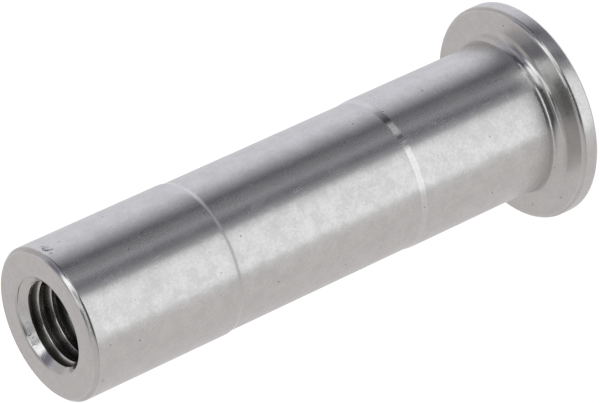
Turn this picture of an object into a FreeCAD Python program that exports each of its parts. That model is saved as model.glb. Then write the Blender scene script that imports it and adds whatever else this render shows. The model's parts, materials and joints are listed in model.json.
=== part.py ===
# Headed pin with a tapped blind hole, turned in one piece from steel bar.
# A plain cylindrical pin carries a thin round head at one end. Its middle is relieved to a
# slightly smaller diameter, so that only a journal at each end bears in the parts it joins.
# The free end has a blind hole for a screw, with a countersunk mouth.
# Millimetres, +Z up. The pin stands on its head: the origin is the centre of the head's
# outer face, and +Z runs along the pin's axis to the tapped end.

import FreeCAD, Part
import os
import Sketcher

DOCUMENT_NAME = "HeadedPinDocument"
NODE_NAME = "headed_pin"

# Driving dimensions in millimetres and degrees: alias, value, what it is.
DIMENSIONS = [
    ("journal_diameter", 16.0, "bearing journals at both ends"),
    ("relief_diameter", 15.76, "relieved middle between the journals"),
    ("head_diameter", 23.0, "outside of the head"),
    ("overall_length", 60.0, "head's outer face to the tapped end's face"),
    ("head_thickness", 2.0, "head's outer face to its inner face"),
    ("end_journal_length", 17.15, "tapped end's face to the first taper"),
    ("end_taper_length", 0.5, "taper from the end journal into the relief"),
    ("head_journal_length", 17.4, "head's inner face to the second taper"),
    ("head_taper_length", 0.8, "taper from the head journal into the relief"),
    ("head_fillet_radius", 1.25, "fillet in the corner under the head"),
    ("rim_chamfer", 0.3, "both edges of the head's rim"),
    ("end_chamfer", 0.4, "outer edge of the tapped end"),
    ("thread_diameter", 10.0, "nominal diameter of the screw thread"),
    ("thread_pitch", 1.5, "pitch of the screw thread"),
    ("countersink_allowance", 0.25, "countersink's mouth beyond the nominal thread"),
    ("countersink_angle", 90.0, "countersink, included angle"),
    ("hole_depth", 24.0, "tapped end's face to the end of the hole's full diameter"),
    ("drill_point_angle", 118.0, "conical bottom of the hole, included angle"),
]

# Derived sizes, as formulas on the dimension sheet.
FORMULAS = [
    ("journal_radius", "=journal_diameter / 2", "bearing journals"),
    ("relief_radius", "=relief_diameter / 2", "relieved middle"),
    ("head_radius", "=head_diameter / 2", "outside of the head"),
    ("head_taper_start", "=head_thickness + head_journal_length", "height of the second taper"),
    ("relief_start", "=head_taper_start + head_taper_length", "lower end of the relief"),
    ("end_taper_end", "=overall_length - end_journal_length", "height of the first taper"),
    ("relief_end", "=end_taper_end - end_taper_length", "upper end of the relief"),
    ("hole_diameter", "=thread_diameter - thread_pitch", "drilled size for the thread"),
    ("countersink_diameter", "=thread_diameter + countersink_allowance", "at the end face"),
]

# Turned outline of the blank, as (radius, height) names. None stands for the axis or for the
# origin's level. It runs from the centre of the head to the centre of the tapped end.
OUTLINE = [
    (None, None),
    ("head_radius", None),
    ("head_radius", "head_thickness"),
    ("journal_radius", "head_thickness"),
    ("journal_radius", "head_taper_start"),
    ("relief_radius", "relief_start"),
    ("relief_radius", "relief_end"),
    ("journal_radius", "end_taper_end"),
    ("journal_radius", "overall_length"),
    (None, "overall_length"),
]

MATCH_TOLERANCE = 1e-4

# How the sketcher numbers the points of a line or circle, and its own origin and axes.
START_POINT, END_POINT, CENTRE_POINT = range(1, 4)
LEVEL_AXIS, UPRIGHT_AXIS = range(-1, -3, -1)
SKETCH_ORIGIN = (LEVEL_AXIS, START_POINT)


def add_dimension_sheet(document):
    """Put the driving dimensions and their formulas in a spreadsheet of aliased cells."""
    sheet = document.addObject("Spreadsheet::Sheet", "Dimensions")
    rows = [(alias, str(value), note) for alias, value, note in DIMENSIONS] + FORMULAS
    for row, (alias, content, note) in enumerate(rows, start=1):
        sheet.set(f"A{row}", alias)
        sheet.set(f"B{row}", content)
        sheet.set(f"C{row}", note)
        sheet.setAlias(f"B{row}", alias)
        document.recompute()
    return sheet


def size_of(sheet, alias):
    """Read one aliased size from the sheet, 0 for no alias."""
    if alias is None:
        return 0.0
    value = sheet.get(alias)
    return float(getattr(value, "Value", value))


def origin_plane(body, role):
    """Return the body's own origin plane with the given role."""
    for feature in body.Origin.OriginFeatures:
        if feature.Role == role:
            return feature
    raise RuntimeError(f"{body.Label} has no origin plane {role}")


def add_sketch(body, name, role):
    """Add a sketch that lies flat on one of the body's own origin planes."""
    sketch = body.newObject("Sketcher::SketchObject", name)
    sketch.AttachmentSupport = [(origin_plane(body, role), "")]
    sketch.MapMode = "FlatFace"
    return sketch


def bind_distance(sketch, kind, line, point, alias, value):
    """Hold one sketch point at a sheet size from the sketch's origin."""
    place = Sketcher.Constraint(kind, *SKETCH_ORIGIN, line, point, value)
    index = sketch.addConstraint(place)
    sketch.setExpression(f"Constraints[{index}]", f"Dimensions.{alias}")


def draw_outline(sketch, sheet):
    """Draw the closed half outline, each corner held by its radius and height."""
    corners = []
    for radius_name, height_name in OUTLINE:
        corners.append(FreeCAD.Vector(size_of(sheet, radius_name), size_of(sheet, height_name), 0))
    count = len(corners)
    for start in range(count):
        line = Part.LineSegment(corners[start], corners[(start + 1) % count])
        sketch.addGeometry(line, False)
    for line in range(count):
        following = (line + 1) % count
        joint = Sketcher.Constraint("Coincident", line, END_POINT, following, START_POINT)
        sketch.addConstraint(joint)
    at_origin = Sketcher.Constraint("Coincident", 0, START_POINT, *SKETCH_ORIGIN)
    sketch.addConstraint(at_origin)
    for line, (radius_name, height_name) in enumerate(OUTLINE):
        if line == 0:
            continue
        if radius_name is None:
            on_axis = Sketcher.Constraint("PointOnObject", line, START_POINT, UPRIGHT_AXIS)
            sketch.addConstraint(on_axis)
        else:
            radius = size_of(sheet, radius_name)
            bind_distance(sketch, "DistanceX", line, START_POINT, radius_name, radius)
        if height_name is None:
            on_level = Sketcher.Constraint("PointOnObject", line, START_POINT, LEVEL_AXIS)
            sketch.addConstraint(on_level)
        else:
            height = size_of(sheet, height_name)
            bind_distance(sketch, "DistanceY", line, START_POINT, height_name, height)


def circular_edges(feature, radius, height):
    """Name the full-circle edges of a feature at one radius and height."""
    names = []
    for number, edge in enumerate(feature.Shape.Edges, start=1):
        curve = edge.Curve
        if not isinstance(curve, Part.Circle):
            continue
        same_radius = abs(curve.Radius - radius) < MATCH_TOLERANCE
        same_height = abs(curve.Center.z - height) < MATCH_TOLERANCE
        if same_radius and same_height:
            names.append(f"Edge{number}")
    if not names:
        raise RuntimeError(f"{feature.Label} has no round edge {radius} mm at {height} mm")
    return names


def add_edge_finish(body, kind, name, base, edges, size_property, alias):
    """Add a fillet or chamfer on named edges, sized by the sheet."""
    finish = body.newObject(kind, name)
    finish.Base = (base, edges)
    finish.setExpression(size_property, f"Dimensions.{alias}")
    body.Document.recompute()
    return finish


def add_hole(body, sheet):
    """Add the blind hole with its countersunk mouth and drilled point."""
    centre = add_sketch(body, "HoleCentre", "XY_Plane")
    centre.setExpression("AttachmentOffset.Base.z", "Dimensions.overall_length")
    circle = Part.Circle()
    circle.Radius = size_of(sheet, "hole_diameter") / 2
    drawn = centre.addGeometry(circle, False)
    on_axis = Sketcher.Constraint("Coincident", drawn, CENTRE_POINT, *SKETCH_ORIGIN)
    centre.addConstraint(on_axis)
    across = Sketcher.Constraint("Diameter", drawn, size_of(sheet, "hole_diameter"))
    diameter = centre.addConstraint(across)
    centre.setExpression(f"Constraints[{diameter}]", "Dimensions.hole_diameter")
    body.Document.recompute()
    hole = body.newObject("PartDesign::Hole", "TappedHole")
    hole.Profile = centre
    body.Document.recompute()
    hole.ThreadType = "None"
    hole.DepthType = "Dimension"
    hole.HoleCutType = "Countersink"
    hole.HoleCutCustomValues = True
    hole.DrillPoint = "Angled"
    hole.DrillForDepth = False
    hole.setExpression("Diameter", "Dimensions.hole_diameter")
    hole.setExpression("Depth", "Dimensions.hole_depth")
    hole.setExpression("DrillPointAngle", "Dimensions.drill_point_angle")
    hole.setExpression("HoleCutDiameter", "Dimensions.countersink_diameter")
    hole.setExpression("HoleCutCountersinkAngle", "Dimensions.countersink_angle")
    body.Document.recompute()
    return hole


def make_headed_pin(document, sheet):
    """Turn the blank, finish its edges and sink the hole."""
    body = document.addObject("PartDesign::Body", "HeadedPin")
    body.Label = NODE_NAME
    outline = add_sketch(body, "TurnedOutline", "XZ_Plane")
    draw_outline(outline, sheet)
    document.recompute()

    blank = body.newObject("PartDesign::Revolution", "TurnedBlank")
    blank.Profile = outline
    blank.ReferenceAxis = (outline, ["V_Axis"])
    blank.Angle = 360.0
    document.recompute()

    journal_radius = size_of(sheet, "journal_radius")
    head_radius = size_of(sheet, "head_radius")
    inner_face = size_of(sheet, "head_thickness")
    end_face = size_of(sheet, "overall_length")

    corner = circular_edges(blank, journal_radius, inner_face)
    filleted = add_edge_finish(
        body, "PartDesign::Fillet", "CornerUnderHead", blank, corner, "Radius", "head_fillet_radius"
    )
    rim = circular_edges(filleted, head_radius, inner_face)
    rim += circular_edges(filleted, head_radius, 0.0)
    rimmed = add_edge_finish(
        body, "PartDesign::Chamfer", "RimEdges", filleted, rim, "Size", "rim_chamfer"
    )
    end_edge = circular_edges(rimmed, journal_radius, end_face)
    chamfered = add_edge_finish(
        body, "PartDesign::Chamfer", "EndEdge", rimmed, end_edge, "Size", "end_chamfer"
    )
    hole = add_hole(body, sheet)
    body.Tip = hole
    body.Placement = FreeCAD.Placement()
    document.recompute()
    if not hole.Shape.Volume < chamfered.Shape.Volume:
        raise RuntimeError("The hole removes nothing from the pin")
    return body


def check_document(document):
    """Stop if any object of the document failed to compute."""
    for item in document.Objects:
        if "Invalid" in item.State or "Error" in item.State:
            raise RuntimeError(f"{item.Label} is {item.State}")


def check_shape(item):
    """Stop unless the object holds one valid closed solid."""
    shape = item.Shape
    if shape.isNull() or not shape.isValid() or len(shape.Solids) != 1:
        raise RuntimeError(f"{item.Label} has no single valid solid")


def main():
    document = FreeCAD.newDocument(DOCUMENT_NAME)
    sheet = add_dimension_sheet(document)
    pieces = [make_headed_pin(document, sheet)]
    document.recompute()
    check_document(document)
    for piece in pieces:
        check_shape(piece)
    os.makedirs("parts", exist_ok=True)
    for piece in pieces:
        piece.Shape.exportStep(f"parts/{piece.Label}.step")
        box = piece.Shape.BoundBox
        print(f"{piece.Label}: volume {piece.Shape.Volume:.1f} mm3, "
              f"box {box.XLength:.3f} x {box.YLength:.3f} x {box.ZLength:.3f} mm")


main()
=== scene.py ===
# %% [markdown]
# # A headed pin with a tapped hole
# The real pin is turned from one steel bar: a round shank with a slightly thinner middle, a thin
# head at one end, and a tapped hole in the other. This lesson shapes it the way it is made. The
# half outline is drawn first and spun into a solid, and then a thread is cut in its hole. A steel
# finish and a light tent follow, because polished metal looks like whatever stands round it.

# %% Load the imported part
import json
import math

import bpy
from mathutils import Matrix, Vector

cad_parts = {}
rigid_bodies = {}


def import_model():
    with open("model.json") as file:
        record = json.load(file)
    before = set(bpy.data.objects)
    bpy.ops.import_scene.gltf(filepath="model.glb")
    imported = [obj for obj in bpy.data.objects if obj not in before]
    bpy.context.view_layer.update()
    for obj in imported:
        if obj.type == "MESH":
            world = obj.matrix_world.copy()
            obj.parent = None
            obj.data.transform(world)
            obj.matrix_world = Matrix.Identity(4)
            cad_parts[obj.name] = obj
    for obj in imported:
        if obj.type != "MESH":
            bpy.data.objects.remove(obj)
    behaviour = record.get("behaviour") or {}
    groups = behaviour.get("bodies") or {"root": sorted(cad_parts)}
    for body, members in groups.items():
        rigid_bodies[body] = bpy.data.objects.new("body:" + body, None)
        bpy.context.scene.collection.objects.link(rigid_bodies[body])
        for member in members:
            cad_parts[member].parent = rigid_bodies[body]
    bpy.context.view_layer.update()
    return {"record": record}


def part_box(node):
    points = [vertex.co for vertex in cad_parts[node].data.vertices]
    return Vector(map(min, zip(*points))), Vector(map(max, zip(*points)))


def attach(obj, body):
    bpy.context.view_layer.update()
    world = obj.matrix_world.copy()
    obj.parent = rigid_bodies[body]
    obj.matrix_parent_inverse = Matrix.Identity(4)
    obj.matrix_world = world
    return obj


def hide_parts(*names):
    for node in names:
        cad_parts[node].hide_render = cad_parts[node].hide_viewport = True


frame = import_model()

NODE = "headed_pin"
SLOT = "turned_steel"
MM = 0.001
mounts = {mount["name"]: mount for mount in frame["record"]["mounts"]}

# %% [markdown]
# ## Sizes
# The main sizes come from the part itself: its box gives the length and the head, and the record's
# mounts give the journals and the drilled hole. The others are what a lathe hand reads off a
# drawing, such as the relief between the journals and the small breaks on each edge.

# %% Sizes of the pin
_, top_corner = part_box(NODE)
LENGTH = top_corner.z
HEAD_RADIUS = top_corner.x
JOURNAL_RADIUS = mounts["end_journal"]["dims"]["r_mm"] * MM
BORE_RADIUS = mounts["screw_hole"]["dims"]["r_mm"] * MM
HEAD_THICKNESS = mounts["head_seat"]["pos_m"][2]

RELIEF_RADIUS = 7.88 * MM
# Each taper has the height of its upper end and of its lower end.
END_TAPER = (LENGTH - 17.15 * MM, LENGTH - 17.65 * MM)
HEAD_TAPER = (HEAD_THICKNESS + 18.2 * MM, HEAD_THICKNESS + 17.4 * MM)
END_CHAMFER = 0.4 * MM
RIM_CHAMFER = 0.3 * MM
HEAD_FILLET = 1.25 * MM
MOUTH_RADIUS = 5.125 * MM
MOUTH_DEPTH = MOUTH_RADIUS - BORE_RADIUS
HOLE_DEPTH = 24.0 * MM
DRILL_ANGLE = 118
DRILL_POINT = BORE_RADIUS / math.tan(math.radians(DRILL_ANGLE / 2))
THREAD_PITCH = 1.5 * MM
THREAD_RADIUS = 5.0 * MM
THREAD_ANGLE = 60
print(f"Length {LENGTH / MM:.2f} mm, head {2 * HEAD_RADIUS / MM:.2f} mm, "
      f"journals {2 * JOURNAL_RADIUS / MM:.2f} mm, hole {2 * BORE_RADIUS / MM:.2f} mm")

# %% [markdown]
# ## Helpers for edit mode
# An operator works on whatever is selected, so each step first says what that is. These helpers
# switch modes, and pick vertices by their place, as a click would. Others draw a line of edges,
# round its corners, and count the open edges of a mesh, because a solid must not have any.


# %% Choose what is worked on
def start_clean():
    """Leave edit mode and deselect every object."""
    if bpy.context.mode != "OBJECT":
        bpy.ops.object.mode_set(mode="OBJECT")
    bpy.ops.object.select_all(action="DESELECT")


def choose(piece):
    """Select one object alone and make it the active one."""
    start_clean()
    bpy.context.view_layer.objects.active = piece
    piece.select_set(True)


def edit(piece):
    """Open one object in edit mode with nothing selected."""
    choose(piece)
    bpy.ops.object.mode_set(mode="EDIT")
    bpy.ops.mesh.select_mode(type="VERT")
    bpy.ops.mesh.select_all(action="DESELECT")


def pick(piece, wanted):
    """Select the vertices whose place passes a test, and return how many there are."""
    bpy.ops.object.mode_set(mode="OBJECT")
    count = 0
    for vertex in piece.data.vertices:
        vertex.select = wanted(vertex.co)
        count += vertex.select
    bpy.ops.object.mode_set(mode="EDIT")
    return count


# %% Draw and measure
def round_off(before, corner, after, size, segments):
    """Give the points of the arc that rounds a corner and touches its sides at a distance."""
    back = (before - corner).normalized()
    ahead = (after - corner).normalized()
    centre = corner + (back + ahead).normalized() * size / math.cos(back.angle(ahead) / 2)
    radius = size * math.tan(back.angle(ahead) / 2)
    first = (corner + back * size - centre) / radius
    last = (corner + ahead * size - centre) / radius
    return [centre + first.slerp(last, step / segments) * radius for step in range(segments + 1)]


def draw_line(name, places, closed=False):
    """Draw a line of edges from place to place, by pulling one vertex along."""
    start_clean()
    bpy.ops.mesh.primitive_plane_add(size=MM)
    line = bpy.context.object
    line.name = line.data.name = name
    bpy.ops.object.mode_set(mode="EDIT")
    bpy.ops.mesh.select_mode(type="VERT")
    bpy.ops.mesh.select_all(action="SELECT")
    bpy.ops.mesh.merge(type="CENTER")
    bpy.ops.transform.translate(value=places[0])
    for before, after in zip(places, places[1:]):
        bpy.ops.mesh.extrude_vertices_move(TRANSFORM_OT_translate={"value": after - before})
    if closed:
        bpy.ops.mesh.select_all(action="SELECT")
        bpy.ops.mesh.edge_face_add()
    bpy.ops.object.mode_set(mode="OBJECT")
    return line


MERGE = 0.0001 * MM


def close_up(piece):
    """Merge doubled vertices and turn every face outwards."""
    edit(piece)
    bpy.ops.mesh.select_all(action="SELECT")
    bpy.ops.mesh.remove_doubles(threshold=MERGE)
    bpy.ops.mesh.normals_make_consistent(inside=False)
    bpy.ops.object.mode_set(mode="OBJECT")


def on_pin(angle, radius, height):
    """Give the place at a compass angle in degrees, a radius and a height."""
    turn = math.radians(angle)
    return Vector((radius * math.cos(turn), radius * math.sin(turn), height))


def open_edges(piece):
    """Count the edges that don't have exactly two faces. A closed solid has none."""
    faces_on = {}
    for polygon in piece.data.polygons:
        for edge in polygon.edge_keys:
            faces_on[edge] = faces_on.get(edge, 0) + 1
    return sum(count != 2 for count in faces_on.values())


# %% [markdown]
# ## The turned body
# A lathe makes every form on this pin that isn't the thread. The same can be had from a cylinder
# by scaling loops, but a drawn half outline is nearer to the real drawing: each corner is one line
# of a list, with its radius, its height, how much of it is rounded off, and in how many steps. Even
# a sharp edge on a real part has a small break, and without one it would catch no light. The extra
# rings near the tapped end leave the knocks, which come later, small faces to work on.

# %% List the corners
EDGE_BREAK = 0.07 * MM
END_BREAK = 0.14 * MM
RIM_BREAK = 0.16 * MM
MOUTH_BREAK = 0.22 * MM
SOFT_CORNER = 0.12 * MM
NO_BREAK = 0.0
KNOCKED_LENGTH = 1.6 * MM
KNOCKED_RINGS = 8
CONE_RINGS = 5
CONE_STEP = MOUTH_DEPTH / 8
journal_end = LENGTH - END_CHAMFER - END_BREAK
knocked_rings = [
    (JOURNAL_RADIUS, journal_end - step * KNOCKED_LENGTH / KNOCKED_RINGS, NO_BREAK, 0)
    for step in range(1, KNOCKED_RINGS + 1)
]
cone_rings = [
    (BORE_RADIUS + step * CONE_STEP, LENGTH - MOUTH_DEPTH + step * CONE_STEP, NO_BREAK, 0)
    for step in range(1, CONE_RINGS + 1)
]
# Each corner has its radius, its height, its break, and the steps in which that is rounded.
outline = [
    (0.0, LENGTH - HOLE_DEPTH - DRILL_POINT, NO_BREAK, 0),
    (BORE_RADIUS, LENGTH - HOLE_DEPTH, NO_BREAK, 0),
    (BORE_RADIUS, LENGTH - MOUTH_DEPTH, NO_BREAK, 0),
    *cone_rings,
    (MOUTH_RADIUS, LENGTH, MOUTH_BREAK, 5),
    (JOURNAL_RADIUS - END_CHAMFER, LENGTH, END_BREAK, 4),
    (JOURNAL_RADIUS, LENGTH - END_CHAMFER, END_BREAK, 4),
    *knocked_rings,
    (JOURNAL_RADIUS, END_TAPER[0], SOFT_CORNER, 2),
    (RELIEF_RADIUS, END_TAPER[1], SOFT_CORNER, 2),
    (RELIEF_RADIUS, HEAD_TAPER[0], SOFT_CORNER, 2),
    (JOURNAL_RADIUS, HEAD_TAPER[1], SOFT_CORNER, 2),
    (JOURNAL_RADIUS, HEAD_THICKNESS, HEAD_FILLET, 14),
    (HEAD_RADIUS - RIM_CHAMFER, HEAD_THICKNESS, RIM_BREAK, 4),
    (HEAD_RADIUS, HEAD_THICKNESS - RIM_CHAMFER, RIM_BREAK, 4),
    (HEAD_RADIUS, RIM_CHAMFER, EDGE_BREAK, 3),
    (HEAD_RADIUS - RIM_CHAMFER, 0.0, EDGE_BREAK, 2),
    (0.0, 0.0, NO_BREAK, 0),
]
print("The outline has", len(outline), "corners")

# %% Draw the half outline
corners = [Vector((radius, 0, height)) for radius, height, _, _ in outline]
points = []
for number, (_, _, size, segments) in enumerate(outline):
    if size == NO_BREAK:
        points.append(corners[number])
    else:
        points += round_off(*corners[number - 1:number + 2], size, segments)
pin = draw_line("turned_pin", points)
print("Rounded, the outline has", len(points), "points")

# %% Spin the outline into a solid
AROUND = 256
edit(pin)
bpy.ops.mesh.select_all(action="SELECT")
bpy.ops.mesh.spin(steps=AROUND, angle=2 * math.pi, center=(0, 0, 0), axis=(0, 0, 1))
close_up(pin)
print("Turned body:", len(pin.data.polygons), "faces,", open_edges(pin), "open edges")

# %% [markdown]
# ## The thread
# The hole is drilled at the small size of the thread, and a tap then cuts a helical groove into its
# wall, which leaves the drilled wall standing as the thread's crests. The tap's cut is a ridge
# with flanks at 60 degrees to each other and a narrow flat tip, wound round the axis. A Screw
# modifier winds it, and a Boolean takes it away, so the groove runs out in the countersink exactly
# as a real one does. How deep the ridge starts settles where round the mouth that happens.

# %% Draw the tap's ridge
TIP_FLAT = THREAD_PITCH / 8
RIDGE_FOOT = 3.95 * MM
RIDGE_DEPTH = 21.27 * MM
FLANK = math.radians(THREAD_ANGLE / 2)
CREST_BREAK = 0.07 * MM
CREST_STEPS = 4
CREST_OVERLAP = 0.01 * MM
brink = BORE_RADIUS - CREST_OVERLAP
brink_half = TIP_FLAT / 2 + (THREAD_RADIUS - brink) * math.tan(FLANK)
tip = Vector((THREAD_RADIUS, 0, TIP_FLAT / 2))
edge = Vector((brink, 0, brink_half))
wall = Vector((brink, 0, THREAD_PITCH))
shoulder = round_off(tip, edge, wall, CREST_BREAK, CREST_STEPS)
foot = Vector((RIDGE_FOOT, 0, shoulder[-1].z))
upper_half = [tip, *shoulder, foot]
lower_half = [Vector((place.x, 0, -place.z)) for place in reversed(upper_half)]
middle = Vector((0, 0, LENGTH - RIDGE_DEPTH))
ridge = draw_line("tap_ridge", [place + middle for place in lower_half + upper_half], closed=True)
print("The ridge is drawn with", len(ridge.data.vertices), "points")

# %% Wind the tap's ridge
THREAD_TURNS = 15
STEPS_A_TURN = 96
edit(ridge)
bpy.ops.mesh.select_all(action="SELECT")
bpy.ops.mesh.delete(type="ONLY_FACE")
bpy.ops.object.mode_set(mode="OBJECT")
screw = ridge.modifiers.new("wind", "SCREW")
screw.axis = "Z"
screw.angle = 2 * math.pi
screw.screw_offset = THREAD_PITCH
screw.iterations = THREAD_TURNS
screw.steps = screw.render_steps = STEPS_A_TURN
screw.use_merge_vertices = True
screw.merge_threshold = MERGE
bpy.ops.object.modifier_apply(modifier=screw.name)
edit(ridge)
bpy.ops.mesh.select_all(action="SELECT")
bpy.ops.mesh.remove_doubles(threshold=MERGE)
bpy.ops.mesh.select_all(action="DESELECT")
bpy.ops.mesh.select_mode(type="EDGE")
bpy.ops.mesh.select_non_manifold()
bpy.ops.mesh.edge_face_add()
bpy.ops.mesh.select_all(action="SELECT")
bpy.ops.mesh.quads_convert_to_tris()
bpy.ops.mesh.normals_make_consistent(inside=False)
bpy.ops.object.mode_set(mode="OBJECT")
print("Tap's ridge:", len(ridge.data.polygons), "faces,", open_edges(ridge), "open edges")

# %% Cut the thread
choose(pin)
cut = pin.modifiers.new("tap", "BOOLEAN")
cut.operation = "DIFFERENCE"
cut.solver = "EXACT"
cut.object = ridge
bpy.ops.object.modifier_apply(modifier=cut.name)
bpy.data.objects.remove(ridge)
close_up(pin)
print("Tapped pin:", len(pin.data.polygons), "faces,", open_edges(pin), "open edges")

# %% [markdown]
# ## Knocks
# The real pin has been knocked near its tapped end: a group of shallow dents with low lips lies on
# the journal beside the chamfer, and three specks sit in the countersink. The faces there are
# divided first, and then a vertex is pushed in with proportional editing, so that its neighbours
# follow, as metal does. A lip is the same push the other way.

# %% Divide the faces that the knocks will move
PATCH_CUTS = 2
# Each patch has its compass angle, its radius, how far it lies below the end, and its reach.
PATCHES = [
    (-33, JOURNAL_RADIUS, 1.1 * MM, 1.45 * MM),
    (98, 4.67 * MM, 0.45 * MM, 0.62 * MM),
]
for angle, out, below, reach in PATCHES:
    centre = on_pin(angle, out, LENGTH - below)
    edit(pin)
    count = pick(pin, lambda place: (place - centre).length < reach)
    bpy.ops.mesh.subdivide(number_cuts=PATCH_CUTS)
    print("Divided the faces of", count, "vertices. The pin has", len(pin.data.vertices))
edit(pin)
bpy.ops.mesh.select_all(action="SELECT")
bpy.ops.mesh.quads_convert_to_tris()
bpy.ops.object.mode_set(mode="OBJECT")


# %% Push the dents in
def knock(place, push, reach):
    """Move the vertex nearest to a place, and let its neighbours follow within reach."""
    edit(pin)
    nearest = min(pin.data.vertices, key=lambda vertex: (vertex.co - place).length).co.copy()
    pick(pin, lambda spot: (spot - nearest).length < MERGE)
    bpy.ops.transform.translate(
        value=push, use_proportional_edit=True, use_proportional_connected=True,
        proportional_edit_falloff="SMOOTH", proportional_size=reach)
    bpy.ops.object.mode_set(mode="OBJECT")


# Each dent has its compass angle and then, in millimetres, how far it lies below the end, its
# depth and its reach. A lip has a depth below zero.
DENTS = [
    (-29.5, 0.85, 0.07, 0.50),
    (-36.0, 0.90, 0.07, 0.50),
    (-32.0, 1.25, 0.08, 0.52),
    (-37.5, 1.35, 0.06, 0.40),
    (-33.0, 0.98, -0.08, 0.30),
    (-30.5, 1.05, 0.09, 0.20),
    (-35.5, 1.12, 0.08, 0.20),
    (-28.0, 1.20, 0.07, 0.22),
    (-33.5, 0.80, 0.07, 0.18),
    (-39.5, 1.05, -0.04, 0.30),
    (-31.5, 1.50, -0.03, 0.30),
]
for angle, below, depth, reach in DENTS:
    inward = -on_pin(angle, 1, 0)
    place = on_pin(angle, JOURNAL_RADIUS, LENGTH - below * MM)
    knock(place, inward * depth * MM, reach * MM)
print("Pushed in the", len(DENTS), "dents and lips on the journal")

# %% Push the specks in
# Each speck has its compass angle and how far it lies below the end. Lengths are in millimetres.
SPECK_DEPTH = 0.05
SPECK_REACH = 0.10
SPECKS = [(104, 0.38), (96, 0.50), (92, 0.36)]
for angle, below in SPECKS:
    out_and_down = on_pin(angle, 1, -1).normalized()
    place = on_pin(angle, MOUTH_RADIUS - below * MM, LENGTH - below * MM)
    knock(place, out_and_down * SPECK_DEPTH * MM, SPECK_REACH * MM)
print("Knocked pin:", len(pin.data.polygons), "faces,", open_edges(pin), "open edges")

# %% [markdown]
# ## Shading
# Smooth shading rounds off the facets of the spin. The narrow edge breaks would bend the shading
# of the wide faces beside them, which shows at once in a metal, so a Weighted Normal modifier gives
# each wide face its own true normal.

# %% Smooth the surfaces
SHARP = math.radians(35)
PLAIN_WEIGHT = 50
choose(pin)
bpy.ops.object.shade_smooth_by_angle(angle=SHARP)
weighted = pin.modifiers.new("true_faces", "WEIGHTED_NORMAL")
weighted.mode = "FACE_AREA"
weighted.weight = PLAIN_WEIGHT
weighted.keep_sharp = True
bpy.ops.object.modifier_apply(modifier=weighted.name)
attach(pin, "root")
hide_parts(NODE)
print(pin.name, "rides on root and replaces", NODE)

# %% [markdown]
# ## Helpers for nodes
# A finish is built from nodes. An effect that returns in several places is a node group, made once
# and placed with its own values, like a stencil. These helpers keep that short: some set up a
# material or a group, some do arithmetic or mix colours, and one turns a value that runs between
# two limits into 0 to 1.


# %% Materials and single nodes
def new_material(name):
    """Make an empty node material, and return it with its nodes and links."""
    material = bpy.data.materials.new(name)
    material.use_nodes = True
    material.node_tree.nodes.clear()
    return material, material.node_tree.nodes, material.node_tree.links


def put(links, value, socket):
    """Give a socket a number or colour, or a link from another node's output."""
    if isinstance(value, bpy.types.NodeSocket):
        links.new(value, socket)
    else:
        socket.default_value = value


def math_node(nodes, links, operation, *values):
    """Add a Math node. Each value is a number or another node's output."""
    node = nodes.new("ShaderNodeMath")
    node.operation = operation
    for socket, value in zip(node.inputs, values):
        put(links, value, socket)
    return node.outputs[0]


def add_share(nodes, links, value, share, base):
    """Add a share of a value to a base."""
    return math_node(nodes, links, "MULTIPLY_ADD", value, share, base)


def distance_of(nodes, links, first, second):
    """Add the nodes for the length of a line whose two legs are given."""
    square = math_node(nodes, links, "MULTIPLY", second, second)
    return math_node(nodes, links, "SQRT", math_node(
        nodes, links, "MULTIPLY_ADD", first, first, square))


def gap_between(nodes, links, first, second):
    """Add the nodes for how far two values are apart."""
    return math_node(nodes, links, "ABSOLUTE", math_node(
        nodes, links, "SUBTRACT", first, second))


def fade(nodes, links, value, start, end):
    """Add a smooth step: 0 where the value is at the start, 1 where it is at the end."""
    node = nodes.new("ShaderNodeMapRange")
    node.interpolation_type = "SMOOTHSTEP"
    put(links, value, node.inputs["Value"])
    put(links, start, node.inputs["From Min"])
    put(links, end, node.inputs["From Max"])
    return node.outputs["Result"]


# The Mix node has a pair of inputs and an output for each kind of value. These are the colour ones.
FIRST_COLOUR, SECOND_COLOUR, MIXED_COLOUR = 6, 7, 2


def mix_colours(nodes, links, share, first, second):
    """Add a colour Mix node that goes from the first colour to the second."""
    node = nodes.new("ShaderNodeMix")
    node.data_type = "RGBA"
    put(links, share, node.inputs["Factor"])
    put(links, first, node.inputs[FIRST_COLOUR])
    put(links, second, node.inputs[SECOND_COLOUR])
    return node.outputs[MIXED_COLOUR]


# %% Textures and groups
def on_object(nodes):
    """Add the Object coordinates, which stay with the piece wherever it goes."""
    return nodes.new("ShaderNodeTexCoord").outputs["Object"]


def noise(nodes, links, vector, scale, detail, roughness, w=None):
    """Add a Noise Texture, in four dimensions where a fourth value is given."""
    node = nodes.new("ShaderNodeTexNoise")
    node.noise_dimensions = "3D" if w is None else "4D"
    put(links, vector, node.inputs["Vector"])
    put(links, scale, node.inputs["Scale"])
    put(links, detail, node.inputs["Detail"])
    put(links, roughness, node.inputs["Roughness"])
    if w is not None:
        put(links, w, node.inputs["W"])
    return node.outputs["Fac"]


def new_group(name, inputs, outputs):
    """Make a node group with its sockets. Each input is a name and its usual value."""
    group = bpy.data.node_groups.new(name, "ShaderNodeTree")
    for label, value in inputs:
        kind = "NodeSocketVector" if isinstance(value, tuple) else "NodeSocketFloat"
        socket = group.interface.new_socket(label, in_out="INPUT", socket_type=kind)
        socket.default_value = value
    for label in outputs:
        group.interface.new_socket(label, in_out="OUTPUT", socket_type="NodeSocketFloat")
    start = group.nodes.new("NodeGroupInput") if inputs else None
    end = group.nodes.new("NodeGroupOutput")
    return group, group.nodes, group.links, start, end


def place_group(nodes, links, group, **values):
    """Place a node group, give its inputs by name, and return its outputs."""
    node = nodes.new("ShaderNodeGroup")
    node.node_tree = group
    for name, value in values.items():
        put(links, value, node.inputs[name.replace("_", " ")])
    return node.outputs


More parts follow.
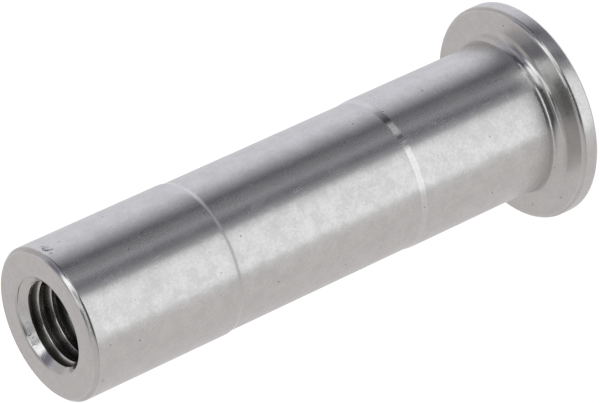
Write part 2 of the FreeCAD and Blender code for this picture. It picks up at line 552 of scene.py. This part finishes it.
# %% [markdown]
# ## Where a point lies on a turned part
# Everything a lathe leaves behind follows two numbers: how far a point is from the axis, and how
# high it stands. The first group works those out from Object coordinates, with the direction round
# the axis as a cosine and a sine, so that a pattern made from them has no seam anywhere.

# %% Radius, height and direction
turned_place, nodes, links, _, end = new_group(
    "turned_place", [], ["Radius", "Height", "Cosine", "Sine"])
parts = nodes.new("ShaderNodeSeparateXYZ")
links.new(on_object(nodes), parts.inputs[0])
across, along, up = parts.outputs
radius = distance_of(nodes, links, across, along)
links.new(radius, end.inputs["Radius"])
links.new(up, end.inputs["Height"])
links.new(math_node(nodes, links, "DIVIDE", across, radius), end.inputs["Cosine"])
links.new(math_node(nodes, links, "DIVIDE", along, radius), end.inputs["Sine"])
print("The group turned_place has", len(nodes), "nodes")

# %% [markdown]
# ## Turning marks
# The tool leaves rings. On the shank they lie side by side along it, and on a face they are circles
# inside each other. A noise that is read at the radius and the height makes both at once. The
# direction enters it too, but gently, so that a ring slowly fades and comes back on its way round.

# %% Turning marks
turning_marks, nodes, links, start, end = new_group(
    "turning_marks", [("Ring Width", 0.15 * MM), ("Changes Round", 1.0)], ["Rings"])
width, changes = start.outputs["Ring Width"], start.outputs["Changes Round"]
lie = place_group(nodes, links, turned_place)
spot = nodes.new("ShaderNodeCombineXYZ")
links.new(math_node(nodes, links, "DIVIDE", lie["Radius"], width), spot.inputs["X"])
links.new(math_node(nodes, links, "DIVIDE", lie["Height"], width), spot.inputs["Y"])
links.new(math_node(nodes, links, "MULTIPLY", lie["Cosine"], changes), spot.inputs["Z"])
turned = math_node(nodes, links, "MULTIPLY", lie["Sine"], changes)
rings = noise(nodes, links, spot.outputs[0], scale=1.0, detail=2.0, roughness=0.6, w=turned)
links.new(rings, end.inputs["Rings"])
print("The group turning_marks has", len(nodes), "nodes")

# %% [markdown]
# ## Scratches
# Handling leaves fine straight scratches. A noise that is stretched very long one way has long thin
# cells, and the line where it passes through its middle value is a hair line. A second noise keeps
# only some of those lines, in patches, as real scratches come: the larger the amount, the lower the
# limit that it has to pass.

# %% Long thin cells
scratches, nodes, links, start, end = new_group(
    "scratches",
    [("Lean", (0.0, 0.0, 0.0)), ("Length", 6.0 * MM), ("Spacing", 0.5 * MM), ("Amount", 0.5)],
    ["Lines"])
turn_lines = nodes.new("ShaderNodeMapping")
links.new(on_object(nodes), turn_lines.inputs["Vector"])
links.new(start.outputs["Lean"], turn_lines.inputs["Rotation"])
stretch = nodes.new("ShaderNodeCombineXYZ")
links.new(math_node(nodes, links, "DIVIDE", 1.0, start.outputs["Length"]), stretch.inputs["Z"])
for socket in stretch.inputs[:2]:
    links.new(math_node(nodes, links, "DIVIDE", 1.0, start.outputs["Spacing"]), socket)
turned_spot = nodes.new("ShaderNodeVectorMath")
turned_spot.operation = "MULTIPLY"
links.new(turn_lines.outputs["Vector"], turned_spot.inputs[0])
links.new(stretch.outputs[0], turned_spot.inputs[1])
cells = noise(nodes, links, turned_spot.outputs[0], scale=1.0, detail=1.0, roughness=0.5)
print("The long cells take", len(nodes), "nodes")

# %% Scratches
NOISE_MIDDLE = 0.5
LINE_LIMIT = 0.012
PATCH_SIZE = 2.2 * MM
PATCH_EDGE = 0.06
HIGHEST_LIMIT = 0.75
LIMIT_SPAN = 0.4
thin = fade(nodes, links, gap_between(nodes, links, cells, NOISE_MIDDLE), LINE_LIMIT, 0.0)
patchy = noise(
    nodes, links, turn_lines.outputs["Vector"], scale=1 / PATCH_SIZE, detail=1.0, roughness=0.5)
lowered = math_node(nodes, links, "MULTIPLY", start.outputs["Amount"], LIMIT_SPAN)
limit = math_node(nodes, links, "SUBTRACT", HIGHEST_LIMIT, lowered)
kept = fade(nodes, links, patchy, limit, math_node(nodes, links, "ADD", limit, PATCH_EDGE))
links.new(math_node(nodes, links, "MULTIPLY", thin, kept), end.inputs["Lines"])
print("The group scratches has", len(nodes), "nodes")

# %% [markdown]
# ## Mottling and pits
# Ground and handled steel isn't even. Close to, it is a quilt of slightly lighter and darker spots
# well under a millimetre across, and here and there the grain has a tiny dark pit. The mottling is
# a noise with fine detail. The pits are the middles of Voronoi cells, a few to the centimetre.

# %% Mottling
mottling, nodes, links, start, end = new_group("mottling", [("Spot Size", 0.3 * MM)], ["Spots"])
fineness = math_node(nodes, links, "DIVIDE", 1.0, start.outputs["Spot Size"])
spots = noise(nodes, links, on_object(nodes), scale=fineness, detail=3.0, roughness=0.55)
links.new(spots, end.inputs["Spots"])
print("The group mottling has", len(nodes), "nodes")

# %% Pits
# The share of a pit's size that is fully dark.
PIT_FLOOR = 0.4
pits, nodes, links, start, end = new_group(
    "pits", [("Spacing", 2.4 * MM), ("Size", 0.09 * MM)], ["Pits"])
spacing, size = start.outputs["Spacing"], start.outputs["Size"]
cells = nodes.new("ShaderNodeTexVoronoi")
links.new(on_object(nodes), cells.inputs["Vector"])
links.new(math_node(nodes, links, "DIVIDE", 1.0, spacing), cells.inputs["Scale"])
from_middle = math_node(nodes, links, "MULTIPLY", cells.outputs["Distance"], spacing)
pit_floor = math_node(nodes, links, "MULTIPLY", size, PIT_FLOOR)
links.new(fade(nodes, links, from_middle, size, pit_floor), end.inputs["Pits"])
print("The group pits has", len(nodes), "nodes")

# %% [markdown]
# ## Worn edges
# An edge that has been wiped and knocked is the brightest metal on the part. Each edge here is a
# circle with a known radius and height, so the mask is how near a point lies to that circle. It is
# broken up a little, because no edge wears evenly.

# %% Worn edges
WEAR_SIZE = 0.9 * MM
UNWORN, FULLY_WORN = 0.25, 0.65
worn_edge, nodes, links, start, end = new_group(
    "worn_edge", [("Edge Radius", 8.0 * MM), ("Edge Height", 0.0), ("Reach", 0.2 * MM)], ["Wear"])
lie = place_group(nodes, links, turned_place)
outwards = math_node(nodes, links, "SUBTRACT", lie["Radius"], start.outputs["Edge Radius"])
upwards = math_node(nodes, links, "SUBTRACT", lie["Height"], start.outputs["Edge Height"])
away = distance_of(nodes, links, outwards, upwards)
near = fade(nodes, links, away, start.outputs["Reach"], 0.0)
uneven = noise(nodes, links, on_object(nodes), scale=1 / WEAR_SIZE, detail=3.0, roughness=0.6)
worn_here = fade(nodes, links, uneven, UNWORN, FULLY_WORN)
links.new(math_node(nodes, links, "MULTIPLY", near, worn_here), end.inputs["Wear"])
print("The group worn_edge has", len(nodes), "nodes")

# %% [markdown]
# ## Oil, dirt and painted shade in the thread
# Cutting oil and dust stay in a tapped hole, and little light gets into it, so below the
# countersink
# its wall is painted dull and dark: partly dirt and partly painted shade, darkest in the grooves
# and on the crests' flats. The crests' edges stay clean, because every screw that goes in wipes
# them. A point's place on the thread is its depth, less the share of a pitch that it has gone
# round: at a whole number of pitches it is in the middle of a crest.

# %% Where the hole is
THREAD_SLACK = 0.05 * MM
# Where the dark wall of dirt and painted shade starts below the end, and where it is full.
DIRT_AND_SHADE_STARTS, DIRT_AND_SHADE_FULL = 0.82 * MM, 1.0 * MM
thread_dirt_and_shade, nodes, links, _, end = new_group("thread_dirt_and_shade", [], ["Dirt"])
lie = place_group(nodes, links, turned_place)
depth = math_node(nodes, links, "SUBTRACT", LENGTH, lie["Height"])
within = fade(nodes, links, lie["Radius"], THREAD_RADIUS + THREAD_SLACK, THREAD_RADIUS)
below = fade(nodes, links, depth, DIRT_AND_SHADE_STARTS, DIRT_AND_SHADE_FULL)
not_head = fade(nodes, links, lie["Height"], HEAD_THICKNESS, 2 * HEAD_THICKNESS)
hole = math_node(nodes, links, "MULTIPLY", within, below)
hole = math_node(nodes, links, "MULTIPLY", hole, not_head)
print(f"The dirt starts {DIRT_AND_SHADE_STARTS / MM:.2f} mm below the end")

# %% Oil, dirt and painted shade in the thread
CREST_START = 1.77 * MM
CREST_HALF = (THREAD_PITCH / 2 - brink_half) / THREAD_PITCH
FLAT_SHARE = 0.6
FLAT_DIRT_AND_SHADE = 0.8
GROOVE_STARTS, GROOVE_FULL = BORE_RADIUS + 0.06 * MM, BORE_RADIUS + 0.34 * MM
HALF = 0.5
back = math_node(nodes, links, "MULTIPLY", lie["Cosine"], -1.0)
gone_round = math_node(nodes, links, "ARCTAN2", lie["Sine"], back)
from_start = math_node(nodes, links, "SUBTRACT", depth, CREST_START)
pitches = math_node(nodes, links, "DIVIDE", from_start, THREAD_PITCH)
on_thread = add_share(nodes, links, gone_round, -1 / (2 * math.pi), pitches)
in_pitch = math_node(nodes, links, "FRACT", math_node(nodes, links, "ADD", on_thread, HALF))
from_crest = gap_between(nodes, links, in_pitch, HALF)
# The crests' flats get part of the painted shade and dirt, and the grooves get all of it.
flat = fade(nodes, links, from_crest, CREST_HALF, CREST_HALF * FLAT_SHARE)
groove = fade(nodes, links, lie["Radius"], GROOVE_STARTS, GROOVE_FULL)
flat_dirt_and_shade = math_node(nodes, links, "MULTIPLY", flat, FLAT_DIRT_AND_SHADE)
dirt_and_shade = math_node(nodes, links, "MAXIMUM", groove, flat_dirt_and_shade)
links.new(math_node(nodes, links, "MULTIPLY", dirt_and_shade, hole), end.inputs["Dirt"])
print("The group thread_dirt_and_shade has", len(nodes), "nodes")

# %% [markdown]
# ## Ground and turned faces
# The journals, the relief and the head's rim have been ground, which leaves them softer than the
# faces that the lathe tool left: the fillet, the chamfers, the tapers and the tapped end still show
# crisp reflections. The mask picks the ground ones by their radius, ends them at the fillet and the
# chamfer, and leaves the tapers out. The head's seat, which is rubbed by what turns against it, is
# halfway between.

# %% The ground shank
SHANK_LIMITS = [(7.6 * MM, 7.75 * MM), (8.10 * MM, 8.04 * MM)]
FILLET_END = HEAD_THICKNESS + HEAD_FILLET
CHAMFER_END = LENGTH - END_CHAMFER
SHANK_ENDS = [
    (FILLET_END + 0.18 * MM, FILLET_END + 0.30 * MM),
    (CHAMFER_END - 0.05 * MM, CHAMFER_END - 0.15 * MM),
]
TAPER_CRISP, TAPER_SOFT = 0.12 * MM, 0.02 * MM
ground_faces, nodes, links, _, end = new_group("ground_faces", [], ["Ground"])
lie = place_group(nodes, links, turned_place)
masks = [fade(nodes, links, lie["Radius"], *limits) for limits in SHANK_LIMITS]
masks += [fade(nodes, links, lie["Height"], *limits) for limits in SHANK_ENDS]
for high, low in [END_TAPER, HEAD_TAPER]:
    from_middle = gap_between(nodes, links, lie["Height"], (high + low) / 2)
    half = abs(high - low) / 2
    masks.append(fade(nodes, links, from_middle, half - TAPER_CRISP, half - TAPER_SOFT))
shank = masks[0]
for mask in masks[1:]:
    shank = math_node(nodes, links, "MULTIPLY", shank, mask)
print("The shank is ground where", len(masks), "masks meet")

# %% The ground rim and the rubbed seat
RIM_STARTS, RIM_FULL = HEAD_RADIUS - 0.06 * MM, HEAD_RADIUS - 0.02 * MM
SEAT_STARTS, SEAT_FULL = 0.08 * MM, 0.01 * MM
SEAT_SHARE = 0.5
rim = fade(nodes, links, lie["Radius"], RIM_STARTS, RIM_FULL)
off_seat = gap_between(nodes, links, lie["Height"], HEAD_THICKNESS)
seat = math_node(
    nodes, links, "MULTIPLY", fade(nodes, links, off_seat, SEAT_STARTS, SEAT_FULL),
    fade(nodes, links, lie["Radius"], HEAD_RADIUS - RIM_CHAMFER, HEAD_RADIUS - 2 * RIM_CHAMFER))
seat = math_node(nodes, links, "MULTIPLY", seat, SEAT_SHARE)
ground_parts = math_node(nodes, links, "MAXIMUM", shank, rim)
links.new(math_node(nodes, links, "MAXIMUM", ground_parts, seat), end.inputs["Ground"])
print("The group ground_faces has", len(nodes), "nodes")

# %% [markdown]
# ## The steel
# Turned steel is bare metal: a light grey with a trace of warmth. The rings scatter light along the
# pin more than round it, so reflections are crisp round the shank and drawn out along it. That is
# anisotropy, with its tangent round the axis. Spots, rings and scratches change the colour, the
# roughness and the bump together, because on metal they are all the same thing: how flat it is.

# %% The patterns on the steel
steel, nodes, links = new_material(SLOT)
fine_rings = place_group(
    nodes, links, turning_marks, Ring_Width=0.16 * MM, Changes_Round=1.6)["Rings"]
broad_rings = place_group(
    nodes, links, turning_marks, Ring_Width=1.9 * MM, Changes_Round=0.8)["Rings"]
small_spots = place_group(nodes, links, mottling, Spot_Size=0.32 * MM)["Spots"]
large_spots = place_group(nodes, links, mottling, Spot_Size=1.5 * MM)["Spots"]
pit_mask = place_group(nodes, links, pits, Spacing=1.9 * MM, Size=0.125 * MM)["Pits"]
long_lines = place_group(nodes, links, scratches, Lean=(0.12, 0.2, 0.0), Amount=0.55)["Lines"]
cross_lines = place_group(
    nodes, links, scratches, Lean=(0.3, 1.35, 0.4), Length=3.0 * MM, Spacing=0.35 * MM,
    Amount=0.45)["Lines"]
lines = math_node(nodes, links, "MAXIMUM", long_lines, cross_lines)
dirt_and_shade = place_group(nodes, links, thread_dirt_and_shade)["Dirt"]
ground = place_group(nodes, links, ground_faces)["Ground"]
print("The patterns come from", len(bpy.data.node_groups), "groups")

# %% Wear and dullness
EVEN_SHARE = 0.5
EVENLY_CLEAN, EVENLY_DULL = 0.36, 0.66
worn = 0.0
for edge_radius, edge_height in [
    (JOURNAL_RADIUS - END_CHAMFER, LENGTH),
    (HEAD_RADIUS - RIM_CHAMFER, HEAD_THICKNESS),
    (HEAD_RADIUS, RIM_CHAMFER),
]:
    worn_here = place_group(
        nodes, links, worn_edge, Edge_Radius=edge_radius, Edge_Height=edge_height)["Wear"]
    worn = math_node(nodes, links, "MAXIMUM", worn, worn_here)
evenness = add_share(nodes, links, small_spots, EVEN_SHARE, math_node(
    nodes, links, "MULTIPLY", large_spots, EVEN_SHARE))
dullness = fade(nodes, links, evenness, EVENLY_CLEAN, EVENLY_DULL)
print("With wear and dullness the steel has", len(nodes), "nodes")

# %% The steel's colour
CLEAN_STEEL = (0.66, 0.655, 0.645, 1)
DULL_STEEL = (0.50, 0.495, 0.49, 1)
BRIGHT_STEEL = (0.76, 0.755, 0.745, 1)
PIT_COLOUR = (0.10, 0.095, 0.09, 1)
OILY_DIRT_AND_SHADE = (0.28, 0.27, 0.245, 1)
# Each layer has the pattern that it follows, how much it covers, and its colour.
colour = CLEAN_STEEL
for pattern, share, tint in [
    (dullness, 0.30, DULL_STEEL),
    (fine_rings, 0.10, DULL_STEEL),
    (lines, 0.35, BRIGHT_STEEL),
    (worn, 0.70, BRIGHT_STEEL),
    (pit_mask, 0.75, PIT_COLOUR),
    # Oily dirt and painted shade darken the tapped hole's wall.
    (dirt_and_shade, 1.00, OILY_DIRT_AND_SHADE),
]:
    covered = math_node(nodes, links, "MULTIPLY", pattern, share)
    colour = mix_colours(nodes, links, covered, colour, tint)
print("With its colour the steel has", len(nodes), "nodes")

# %% How rough and how high
TURNED_ROUGHNESS = 0.10
GROUND_ROUGHNESS = 0.24
gloss = add_share(nodes, links, ground, GROUND_ROUGHNESS - TURNED_ROUGHNESS, TURNED_ROUGHNESS)
for pattern, rougher in [(dullness, 0.04), (broad_rings, 0.04), (dirt_and_shade, 0.15), (worn, -0.04)]:
    gloss = add_share(nodes, links, pattern, rougher, gloss)
height = 0.0
for pattern, higher in [(small_spots, 0.45), (fine_rings, 0.35), (lines, -0.5), (pit_mask, -4)]:
    height = add_share(nodes, links, pattern, higher, height)
print("The roughness starts at", TURNED_ROUGHNESS, "turned and", GROUND_ROUGHNESS, "ground")

# %% The steel's surface
BUMP_HEIGHT = 0.004 * MM
RINGS_SCATTER = 0.9
QUARTER_TURN = 0.25
bump = nodes.new("ShaderNodeBump")
bump.inputs["Distance"].default_value = BUMP_HEIGHT
links.new(height, bump.inputs["Height"])
surface = nodes.new("ShaderNodeBsdfPrincipled")
links.new(colour, surface.inputs["Base Color"])
links.new(gloss, surface.inputs["Roughness"])
links.new(bump.outputs["Normal"], surface.inputs["Normal"])
surface.inputs["Metallic"].default_value = 1.0
surface.inputs["Anisotropic"].default_value = RINGS_SCATTER
surface.inputs["Anisotropic Rotation"].default_value = QUARTER_TURN
tangent = nodes.new("ShaderNodeTangent")
tangent.direction_type = "RADIAL"
tangent.axis = "Z"
links.new(tangent.outputs["Tangent"], surface.inputs["Tangent"])
output = nodes.new("ShaderNodeOutputMaterial")
links.new(surface.outputs["BSDF"], output.inputs["Surface"])
pin.data.materials.clear()
pin.data.materials.append(steel)
print("The steel has", len(nodes), "nodes")

# %% [markdown]
# ## The light tent
# Bare metal shows its surroundings, so they are lit rather than the pin. A tent of plain cards
# stands all round it: light ones, grey ones, and nearly black ones where a dark band has to read.
# The cards hang in rings above each other, and within a ring what a card sends depends on its
# compass angle alone. Each ring is a colour ramp, and the rings blend at their seams.

# %% The tints and the lower rings
# Each stop of a ring is a compass angle, a brightness and a tint.
NEUTRAL = (0.99, 1.0, 1.015)
WARM = (1.04, 1.0, 1.0)
COOL = (1.0, 1.0, 1.08)
VIOLET = (1.04, 1.0, 1.22)
FLOOR_RING = [
    (-180, 0.60, WARM),
    (-80, 0.62, NEUTRAL),
    (-68, 0.46, COOL),
    (-14, 0.46, COOL),
    (8, 0.64, COOL),
    (70, 0.66, WARM),
    (180, 0.60, WARM),
]
LOW_RING = [
    (-180, 0.72, WARM),
    (-150, 0.80, WARM),
    (-140, 0.98, NEUTRAL),
    (-134, 1.48, NEUTRAL),
    (-106, 1.48, NEUTRAL),
    (-85, 1.38, NEUTRAL),
    (-76, 1.02, NEUTRAL),
    (-71, 0.34, NEUTRAL),
    (-65, 0.30, VIOLET),
    (-61, 0.06, VIOLET),
    (-56, 0.06, VIOLET),
    (-48, 0.24, VIOLET),
    (-38, 0.06, VIOLET),
    (-22, 0.08, VIOLET),
    (4, 0.84, COOL),
    (20, 0.95, COOL),
    (60, 0.84, COOL),
    (80, 0.86, NEUTRAL),
    (104, 0.80, NEUTRAL),
    (118, 0.72, WARM),
    (180, 0.72, WARM),
]
SILL_RING = [
    (-180, 0.74, WARM),
    (-145, 0.80, WARM),
    (-138, 1.00, NEUTRAL),
    (-122, 1.36, NEUTRAL),
    (-77, 1.42, NEUTRAL),
    (-68, 0.30, NEUTRAL),
    (-54, 0.15, VIOLET),
    (-48, 0.9, NEUTRAL),
    (-34, 0.9, NEUTRAL),
    (-28, 0.08, VIOLET),
    (-6, 0.10, VIOLET),
    (14, 0.85, COOL),
    (180, 0.74, WARM),
]
print("The lower rings have", len(FLOOR_RING + LOW_RING + SILL_RING), "stops")

# %% The rings at and above eye level
LEVEL_RING = [
    (-180, 0.60, WARM),
    (-156, 0.48, WARM),
    (-140, 0.30, NEUTRAL),
    (-128, 0.10, NEUTRAL),
    (-72, 0.08, NEUTRAL),
    (-64, 0.50, NEUTRAL),
    (-46, 0.50, NEUTRAL),
    (-38, 0.08, VIOLET),
    (-20, 0.10, VIOLET),
    (2, 0.50, COOL),
    (25, 0.62, WARM),
    (180, 0.60, WARM),
]
HIGH_RING = [
    (-180, 0.62, WARM),
    (-146, 0.56, WARM),
    (-134, 0.36, NEUTRAL),
    (-122, 0.08, WARM),
    (-76, 0.08, WARM),
    (-66, 1.1, NEUTRAL),
    (-56, 1.2, NEUTRAL),
    (-44, 1.6, NEUTRAL),
    (-37, 0.22, VIOLET),
    (-10, 0.42, COOL),
    (14, 0.50, COOL),
    (30, 0.52, WARM),
    (46, 0.52, WARM),
    (62, 0.66, WARM),
    (180, 0.62, WARM),
]
TOP_RING = [
    (-180, 0.62, WARM),
    (-140, 0.56, WARM),
    (-128, 0.24, WARM),
    (-80, 0.24, WARM),
    (-66, 1.00, NEUTRAL),
    (-52, 1.00, NEUTRAL),
    (-40, 0.50, NEUTRAL),
    (-28, 0.24, VIOLET),
    (6, 0.22, VIOLET),
    (20, 0.60, COOL),
    (55, 0.66, WARM),
    (180, 0.62, WARM),
]
print("The middle rings have", len(LEVEL_RING + HIGH_RING + TOP_RING), "stops")

# %% The rings overhead
CROWN_RING = [
    (-180, 0.60, WARM),
    (-148, 0.56, WARM),
    (-128, 0.12, NEUTRAL),
    (-86, 0.08, NEUTRAL),
    (-72, 0.45, NEUTRAL),
    (-60, 0.45, NEUTRAL),
    (-46, 1.30, NEUTRAL),
    (-38, 1.80, NEUTRAL),
    (-26, 1.60, NEUTRAL),
    (-14, 0.30, VIOLET),
    (-4, 0.20, VIOLET),
    (12, 0.24, COOL),
    (40, 0.50, WARM),
    (180, 0.60, WARM),
]
PEAK_RING = [
    (-180, 0.62, WARM),
    (-140, 0.80, NEUTRAL),
    (-100, 0.85, NEUTRAL),
    (-84, 1.20, NEUTRAL),
    (-72, 0.60, NEUTRAL),
    (-60, 0.40, NEUTRAL),
    (-52, 0.50, NEUTRAL),
    (-42, 1.30, NEUTRAL),
    (-20, 1.30, NEUTRAL),
    (-8, 0.45, NEUTRAL),
    (20, 0.45, WARM),
    (60, 0.45, WARM),
    (180, 0.62, WARM),
]
ROOF_RING = [
    (-180, 0.45, WARM),
    (-150, 0.30, NEUTRAL),
    (-128, 0.10, NEUTRAL),
    (-92, 0.10, NEUTRAL),
    (-80, 0.50, NEUTRAL),
    (-68, 1.10, NEUTRAL),
    (-30, 1.20, NEUTRAL),
    (-12, 0.40, NEUTRAL),
    (20, 0.30, WARM),
    (60, 0.50, WARM),
    (120, 0.50, WARM),
    (180, 0.45, WARM),
]
print("The rings overhead have", len(CROWN_RING + PEAK_RING + ROOF_RING), "stops")

# %% [markdown]
# ## Hanging the tent
# The world is the tent. Its direction gives the compass angle, which runs along each ramp, and the
# climb above the horizon, which says where one ring blends into the next. Only reflections see the
# tent. The camera sees plain white.

# %% Hang one ring
TENT_STRENGTH = 2.4
HALF_TURN, FULL_TURN = 180, 360
world = bpy.data.worlds.new("light_tent")
bpy.context.scene.world = world
world.use_nodes = True
sky = world.node_tree.nodes
sky_links = world.node_tree.links
sky.clear()


def ring_of_cards(stops, share):
    """Add a ring's colour ramp, which is read at a share of the whole turn."""
    node = sky.new("ShaderNodeValToRGB")
    ramp = node.color_ramp
    while len(ramp.elements) > 1:
        ramp.elements.remove(ramp.elements[-1])
    for number, (angle, brightness, tint) in enumerate(stops):
        place = (angle + HALF_TURN) / FULL_TURN
        element = ramp.elements[0] if number == 0 else ramp.elements.new(place)
        element.position = place
        element.color = [brightness / TENT_STRENGTH * part for part in tint] + [1]
    sky_links.new(share, node.inputs[0])
    return node.outputs["Color"]


# %% Hang the tent
# Each ring has the climb in degrees where it starts to show, and where it has taken over.
SEAMS = [
    (LOW_RING, -48, -43),
    (SILL_RING, -21, -17),
    (LEVEL_RING, -10, -7),
    (HIGH_RING, 14, 17),
    (TOP_RING, 34, 37),
    (CROWN_RING, 45, 47),
    (PEAK_RING, 54, 56),
    (ROOF_RING, 63, 65),
]
split = sky.new("ShaderNodeSeparateXYZ")
sky_links.new(sky.new("ShaderNodeTexCoord").outputs["Generated"], split.inputs[0])
turn = math_node(sky, sky_links, "ARCTAN2", split.outputs["Y"], split.outputs["X"])
share = add_share(sky, sky_links, turn, 1 / (2 * math.pi), HALF)
climb = math_node(sky, sky_links, "ARCSINE", split.outputs["Z"])
climb = math_node(sky, sky_links, "DEGREES", climb)
light = ring_of_cards(FLOOR_RING, share)
for stops, starts, taken_over in SEAMS:
    seam = fade(sky, sky_links, climb, starts, taken_over)
    light = mix_colours(sky, sky_links, seam, light, ring_of_cards(stops, share))
print("The tent hangs in", 1 + len(SEAMS), "rings")

# %% The white backdrop
WHITE = (1, 1, 1, 1)
tent = sky.new("ShaderNodeBackground")
tent.inputs["Strength"].default_value = TENT_STRENGTH
sky_links.new(light, tent.inputs["Color"])
backdrop = sky.new("ShaderNodeBackground")
backdrop.inputs["Color"].default_value = WHITE
ray = sky.new("ShaderNodeLightPath")
seen = sky.new("ShaderNodeMixShader")
sky_links.new(ray.outputs["Is Camera Ray"], seen.inputs["Fac"])
sky_links.new(tent.outputs["Background"], seen.inputs[1])
sky_links.new(backdrop.outputs["Background"], seen.inputs[2])
world_output = sky.new("ShaderNodeOutputWorld")
sky_links.new(seen.outputs["Shader"], world_output.inputs["Surface"])
print("The tent has", len(sky), "nodes")

# %% [markdown]
# ## The floor
# The pin stands on its head on a sheet of paper that runs on past the picture. White paper would
# throw light up at the pin. A grey one that glows a little, for the camera alone, looks as white,
# keeps the pin's shadow, and adds no light to the steel.

# %% The floor
FLOOR_SIZE = 4.0
PAPER_GREY = (0.5, 0.5, 0.5, 1)
PAPER_GLOW = 0.85
start_clean()
bpy.ops.mesh.primitive_plane_add(size=FLOOR_SIZE, location=(0, 0, 0))
floor = bpy.context.object
floor.name = "floor"
floor.visible_glossy = False
paper, nodes, links = new_material("white_paper")
matt = nodes.new("ShaderNodeBsdfDiffuse")
matt.inputs["Color"].default_value = PAPER_GREY
glow = nodes.new("ShaderNodeEmission")
ray = nodes.new("ShaderNodeLightPath")
shown = math_node(nodes, links, "MULTIPLY", ray.outputs["Is Camera Ray"], PAPER_GLOW)
links.new(shown, glow.inputs["Strength"])
both = nodes.new("ShaderNodeAddShader")
links.new(matt.outputs["BSDF"], both.inputs[0])
links.new(glow.outputs["Emission"], both.inputs[1])
output = nodes.new("ShaderNodeOutputMaterial")
links.new(both.outputs["Shader"], output.inputs["Surface"])
floor.data.materials.append(paper)
print("The floor is", FLOOR_SIZE, "m across")

# %% [markdown]
# ## The camera
# The photograph looks down on the pin and is turned so that the pin lies across the picture. The
# camera stands at the same place: in front, about 30 degrees up, rolled about its own axis.

# %% The camera
CAMERA_PLACE = Vector((0.764, -375.404, 248.688)) * MM
LOOK_DOWN = math.radians(30.357)
ROLL = math.radians(-114.607)
LENS = 264.0
SENSOR_WIDTH = 36.0
NEAREST, FARTHEST = 0.01, 10
LEVEL_GAZE = math.radians(90)
bpy.ops.object.camera_add(location=CAMERA_PLACE)
camera = bpy.context.object
camera.rotation_mode = "ZYX"
camera.rotation_euler = (LEVEL_GAZE - LOOK_DOWN, 0, ROLL)
camera.data.lens = LENS
camera.data.sensor_width = SENSOR_WIDTH
camera.data.clip_start = NEAREST
camera.data.clip_end = FARTHEST
bpy.context.scene.camera = camera
bpy.context.scene.view_settings.view_transform = "Standard"
print(f"The camera stands {CAMERA_PLACE.length / MM:.1f} mm from the pin's foot")
